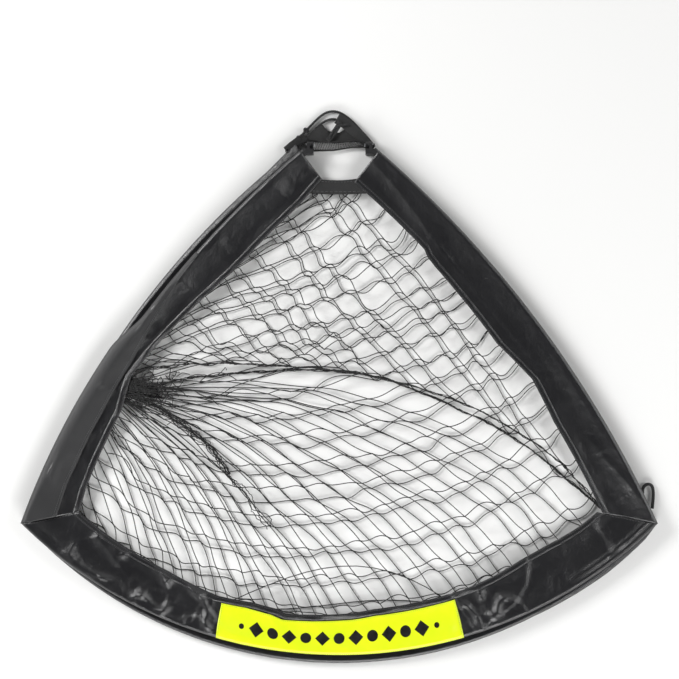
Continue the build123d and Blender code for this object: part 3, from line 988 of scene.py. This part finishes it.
def net(name, bands, level, body, node, shift, bunches):
    edge = Rim(bands, 6.0)
    rope = spline(UPPER_ROPE)
    paths, knots = knotted_net(edge, rope, 11, np.array(shift))
    rng = np.random.default_rng(len(name))
    tubes = Tubes(5)
    for path in paths:
        tubes.add(np.column_stack((path, [level + 0.3 * rough(*p, level, 30.0, 1) for p in path])), TWINE_R)
    for place in knots:
        tubes.lump((*place, level), 1.35)
    for route, thick, strands, spread in bunches:
        bunch(tubes, spline(route), level, rng, thick, strands, spread)
    gather = np.array(UPPER_ROPE[0]) * 0.3 + np.array(LOWER_ROPE[0]) * 0.7
    for _ in range(60):
        place = gather + np.array((rng.exponential(9.0) - 3, rng.normal(0, 6)))
        tubes.lump((*place, level + rng.uniform(0, 0.8)), rng.uniform(1.2, 2.4))
    for _ in range(46):
        place = gather + np.array((rng.exponential(26.0), rng.normal(-6, 13)))
        turn, walk = rng.uniform(-0.9, 0.4), [place]
        for _ in range(5):
            turn += rng.normal(0, 0.9)
            walk.append(walk[-1] + heading(math.degrees(turn)) * rng.uniform(4, 8))
        tubes.add(np.column_stack((spline(walk, 4), np.full(len(spline(walk, 4)), level + rng.uniform(0, 0.9)))), 0.7)
    piece = tubes.piece(name, TWINE, body, "net_twine")
    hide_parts(node)


net(
    "top_netting",
    TOP,
    13.3,
    "top_frame",
    "top_net",
    (0.0, 0.0),
    [(UPPER_ROPE, 1.0, 2, (1.6, 1.2, 1.4, 1.8)), (TANGLE, 0.0, 3, (2.5, 4.0, 4.5, 6.0))],
)
net(
    "base_netting",
    BASE,
    2.3,
    "base_frame",
    "base_net",
    (-4.5, -5.5),
    [(LOWER_ROPE, 1.1, 3, (2.2, 1.8, 1.6, 1.6)), (TANGLE[:5], 0.8, 3, (3.0, 4.0, 4.5, 5.0))],
)


# ---- side nets

SIDE_NET_STEPS = 42
SIDE_NET_START, SIDE_NET_END = 0.24, 0.90  # shares of the way along the bands
SIDE_NET_FLATNESS = 0.022  # opening the goal stretches the side nets' height about this much the other way


def side_netting(hand):
    """The netting that closes a side, gathered in pleats between the two frames while they are shut."""
    low_band, high_band = BASE[hand], TOP[hand]
    rng = np.random.default_rng(70 + len(hand))
    tubes = Tubes(4)
    low_level, high_level = 3.4, 12.0
    columns = 18

    def place(u, share):
        """share 0 on the base frame to 1 on the top one"""
        pleat = 5.0 * math.sin(share * math.pi * 6)
        low = low_band.plan(u, low_band.hem_out(u) + 16 + pleat)
        high = high_band.plan(u, high_band.hem_out(u) + 16 + pleat)
        t = inverse_smooth(share)
        x, y = low * (1 - t) + high * t
        return (x, y, low_level + (high_level - low_level) * t)

    for lean in (-1, 1):
        for k in range(-5, columns + 6):
            path = []
            for step in range(SIDE_NET_STEPS + 1):
                share = step / SIDE_NET_STEPS
                u = 0.24 + 0.66 * (k + lean * share * 5) / columns
                if SIDE_NET_START <= u <= SIDE_NET_END:
                    path.append(place(u + rng.uniform(-0.001, 0.001), share))
            if len(path) > 3:
                tubes.add(path, 0.85, SIDE_NET_FLATNESS)
    for share in (0.0, 1.0):
        tubes.add([place(u, share) for u in np.linspace(SIDE_NET_START, SIDE_NET_END, 80)], 1.0, SIDE_NET_FLATNESS)
    piece = new_piece(f"{hand}_side_netting", tubes.points, tubes.faces, TWINE, None)
    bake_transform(piece)
    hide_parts(f"{hand}_side_net")


def inverse_smooth(w):
    """The share of the way whose smoothstep is w."""
    return 0.5 - math.sin(math.asin(1 - 2 * min(max(w, 0.0), 1.0)) / 3)


for hand in ("left", "right"):
    side_netting(hand)


# ---- ribbons and the apex


def ribbon(which):
    bands, body = FRAMES[which]
    level = bands["front"].z - BASE_Z + 1.9

    def surface(v, u):
        y = RIBBON_HIGH_Y + 1 + (RIBBON_LOW_Y - 1 - RIBBON_HIGH_Y - 1) * v
        left = np.interp(-y, -edge_left[:, 1], edge_left[:, 0])
        right = np.interp(-y, -edge_right[:, 1], edge_right[:, 0])
        x = left + (right - left) * u
        sag = 2.5 * (1 - (2 * u - 1) ** 2)
        crown = 0.8 * math.sin(math.pi * v) ** 0.5 + 0.25 * rough(x, y, 51, 18.0)
        return (x, y - sag, level + crown)

    edge_left, edge_right = [
        np.array([band.plan(u, band.hem_out(u) + 7) for u in np.linspace(1.03, 0.8, 30)])
        for band in (bands["left"], bands["right"])
    ]
    piece = slab(f"{which}_ribbon_webbing", surface, 10, 30, 1.2, WEBBING, body)
    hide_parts(f"{which}_ribbon")
    wide = surface(0.5, 1.0)[0] - surface(0.5, 0.0)[0]
    rows = Tubes(4)
    for v in (0.14, 0.86):
        for k in range(14):
            rows.stitch(*[surface(v, (k + end) / 14) for end in (0.2, 0.8)], 0.34, 0.2)
    rows.piece(f"{which}_ribbon_stitches", THREAD, body, "webbing")


for which in FRAMES:
    ribbon(which)


def apex_gusset():
    """Open mesh cloth across the apex, and its rolled edges."""
    lower = np.array(((-74, 399), (-45, 403), (-10, 404), (20, 409), (50, 409)), float)
    upper = np.array(((-78, 410), (-50, 422), (-14, 418), (28, 422), (60, 414)), float)

    def place(u, v):
        a, b = part_way(lower, u * 4), part_way(upper, u * 4)
        x, y = a + (b - a) * v
        return (x, y, 7.0 + 0.9 * rough(x, y, 61, 30.0) + 0.8 * math.sin(7 * u + 2 * v))

    tubes = Tubes(4)
    for k in range(50):
        u = k / 49
        tubes.add([place(u, v) for v in np.linspace(0, 1, 9)], 0.42)
    for k in range(11):
        v = k / 10
        tubes.add([place(u, v) for u in np.linspace(0, 1, 50)], 0.42)
    for v, thick in ((0.0, 1.5), (1.0, 1.2)):
        tubes.add([place(u, v) for u in np.linspace(0, 1, 50)], thick)
    piece = tubes.piece("apex_mesh", MESH_CLOTH, "base_frame", "mesh_cloth")
    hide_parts("apex_gusset")

    # the doubled part above it, which reaches up to the inner cord
    crest = np.array(((-64, 424), (-30, 449), (-20, 437), (0, 434), (12, 442), (36, 430), (58, 412)), float)
    foot = np.array(((-60, 416), (-38, 418), (-20, 417), (-2, 416), (14, 418), (34, 418), (56, 409)), float)

    def doubled(v, u):
        a, b = part_way(crest, u * 6), part_way(foot, u * 6)
        x, y = a + (b - a) * v
        return (x, y, 5.6 + 0.8 * rough(x, y, 66, 22.0))

    upper_part = slab("apex_mesh_doubled", doubled, 10, 60, 0.7, MESH_CLOTH, "base_frame")


apex_gusset()


def band_along(route, widths, level, twist):
    """A strip's surface along a route of plan points."""
    line = resample(spline(route), 2.0)
    ways = directions(line)

    def surface(v, u):
        at = u * (len(line) - 1)
        (x, y), (wx, wy) = part_way(line, at), part_way(ways, at)
        wide = np.interp(u * (len(widths) - 1), range(len(widths)), widths)
        off = (v - 0.5) * wide
        height = np.interp(u * (len(level) - 1), range(len(level)), level)
        return (x - wy * off, y + wx * off, height + twist * off * math.sin(3 * u) + 0.3 * rough(x, y, 77, 12.0))

    return surface


def apex_strip(name, route, widths, level, twist, across, along, thick):
    surface = band_along(route, widths, level, twist)
    return slab(name, surface, across, along, thick, WEBBING, "base_frame")


strap = apex_strip(
    "apex_strap_webbing",
    [(-4, 459), (10, 451), (28, 435), (44, 420), (57, 407)],
    (20, 19, 18, 17, 12),
    (7.4, 8.0, 8.0, 7.6, 7.6),
    *(0.12, 8, 40, 1.5),
)
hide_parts("apex_strap")

patch = apex_strip(
    "apex_patch_webbing",
    [(-90, 402), (-78, 411), (-66, 421), (-58, 428)],
    (17, 18, 17, 14),
    (7.0, 8.4, 8.0, 7.4),
    *(0.1, 6, 24, 1.6),
)
cross_strip = apex_strip(
    "apex_woven_strip",
    [(2, 452), (-5, 440), (-12, 430), (-20, 420)],
    (9, 9, 9, 8),
    (9.6, 9.8, 9.6, 9.0),
    *(0.1, 5, 20, 1.2),
)

CORD_ROUTES = {
    "apex_cord_outer": (4.5, 3.0, [(-66, 428), (-44, 452), (-26, 468), (-8, 472), (10, 464), (30, 446), (44, 429)]),
    "apex_cord_inner": (4.5, 3.0, [(-57, 422), (-44, 438), (-29, 452), (-12, 459), (4, 453), (20, 438), (33, 425)]),
    "apex_cord_cross": (4.0, 9.8, [(16, 447), (0, 447), (-12, 438), (-17, 424)]),
}


def nurbs_line(route, level):
    """Points along the smooth NURBS line whose control points are the route's."""
    curve = bpy.data.curves.new("route", "CURVE")
    curve.dimensions = "3D"
    curve.resolution_u = 24
    run = curve.splines.new("NURBS")
    run.points.add(len(route) - 1)
    for point, (x, y) in zip(run.points, route):
        point.co = (x * MM, y * MM, level * MM, 1.0)
    run.order_u = 3
    run.use_endpoint_u = True
    holder = bpy.data.objects.new("route", curve)
    mesh = bpy.data.meshes.new_from_object(holder)
    line = np.array([v.co for v in mesh.vertices]) / MM
    bpy.data.objects.remove(holder)
    bpy.data.curves.remove(curve)
    bpy.data.meshes.remove(mesh)
    return line


def braided(node, wide, level, route):
    line = resample(nurbs_line(route, level), 1.0)
    ways = directions(line)
    across = np.stack((-ways[:, 1], ways[:, 0], np.zeros(len(line))), -1)
    run = distances(line)
    tubes = Tubes(7)
    for k in range(3):
        turn = run / 9.0 * 2 * math.pi + k * 2 * math.pi / 3
        offset = across * (np.cos(turn) * wide * 0.24)[:, None]
        offset[:, 2] = np.sin(turn) * wide * 0.24
        tubes.add(line + offset, wide * 0.26)
    piece = tubes.piece(f"{node}_braid", CORD, "base_frame", "elastic_cord")
    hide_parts(node)


tubes = Tubes(8)
for x, y, z in ((-69, 424.5, 5.5), (-57, 438, 5.5)):
    t = np.linspace(0, 2 * math.pi, 60)
    wind = 2.05 + 0.75 * np.cos(3 * t)
    reach = 1.25 * wind
    path = np.column_stack((x + reach * np.cos(2 * t), y + reach * np.sin(2 * t), z + 1.9 * np.sin(3 * t)))
    tubes.add(path, 1.75)
knots = tubes.piece("cord_knots_tied", CORD, "base_frame", "elastic_cord")
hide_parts("cord_knots")
for node, (wide, level, route) in CORD_ROUTES.items():
    braided(node, wide, level, route)

ring = Tubes(8)
turns = np.linspace(0, 2 * math.pi, 30)
ring.add(np.column_stack((-88 + 3.4 * np.cos(turns), 403 + 3.4 * np.sin(turns), np.full(30, 9.2))), 0.8)
ring.piece("apex_ring", CORD, "base_frame", "elastic_cord")


def stake_loop(hand, mirrored, shift, level):
    route = [(515, -188), (514.5, -172), (519, -165), (526, -162.5), (531.5, -166), (533.6, -176)]
    route += [(533.0, -190), (531.5, -205)]
    if mirrored:
        route = [(-x + shift, y) for x, y in route]
    surface = band_along(route, (5.6, 5.2, 5.2, 5.2, 5.4), [level + lift for lift in (0, 0.3, 0.5, 0.3, 0)], 0.0)
    piece = slab(f"{hand}_stake_webbing", surface, 5, 60, 1.7, WEBBING, "base_frame")
    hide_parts(f"{hand}_stake_loop")


stake_loop("right", False, 0, 5.0)
stake_loop("left", True, 38, 4.3)


# ---- room, light and camera


s = Shader("floor_paint", 0.7)
s.surface.inputs["Base Color"].default_value = (0.86, 0.86, 0.85, 1)
floor_mesh = bpy.data.meshes.new("floor")
floor_mesh.from_pydata([(x, y, -0.0004) for x, y in ((-8, -8), (8, -8), (8, 8), (-8, 8))], [], [(0, 1, 2, 3)])
floor = bpy.data.objects.new("floor", floor_mesh)
floor_mesh.materials.append(s.material)
bpy.context.scene.collection.objects.link(floor)

world = bpy.data.worlds.new("studio")
bpy.context.scene.world = world
world.use_nodes = True
sky = world.node_tree
sky.nodes["Background"].inputs["Strength"].default_value = 0.75
around = sky.nodes.new("ShaderNodeTexCoord")
split = sky.nodes.new("ShaderNodeSeparateXYZ")
ramp = sky.nodes.new("ShaderNodeValToRGB")
for element, place, rgb in zip(ramp.color_ramp.elements, (0.35, 0.8), ((1.0, 1.0, 1.0), (0.03, 0.03, 0.032))):
    element.position = place
    element.color = (*rgb, 1)
sky.links.new(around.outputs["Generated"], split.inputs["Vector"])
sky.links.new(split.outputs["Z"], ramp.inputs["Fac"])
sky.links.new(ramp.outputs["Color"], sky.nodes["Background"].inputs["Color"])


def softbox(name, place, aim, size, power):
    data = bpy.data.lights.new(name, "AREA")
    data.shape = "RECTANGLE"
    data.size, data.size_y = size
    data.energy = power
    lamp = bpy.data.objects.new(name, data)
    lamp.location = place
    lamp.rotation_euler = (Vector(aim) - Vector(place)).to_track_quat("-Z", "Y").to_euler()
    bpy.context.scene.collection.objects.link(lamp)


softbox("key", (-2.5, 1.3, 1.7), (0, 0, 0), (1.6, 0.9), 100)
softbox("fill", (2.9, 0.2, 1.9), (0, 0, 0), (1.8, 1.2), 45)
softbox("low_front", (0.3, -2.6, 1.3), (0, -0.2, 0), (2.4, 0.7), 60)

bpy.context.scene.view_settings.view_transform = "Standard"

camera_data = bpy.data.cameras.new("camera")
camera_data.sensor_width = 36
camera_data.lens = 85
camera = bpy.data.objects.new("camera", camera_data)
camera.location = (0, 0.0826, 2.73)
bpy.context.scene.collection.objects.link(camera)
bpy.context.scene.camera = camera
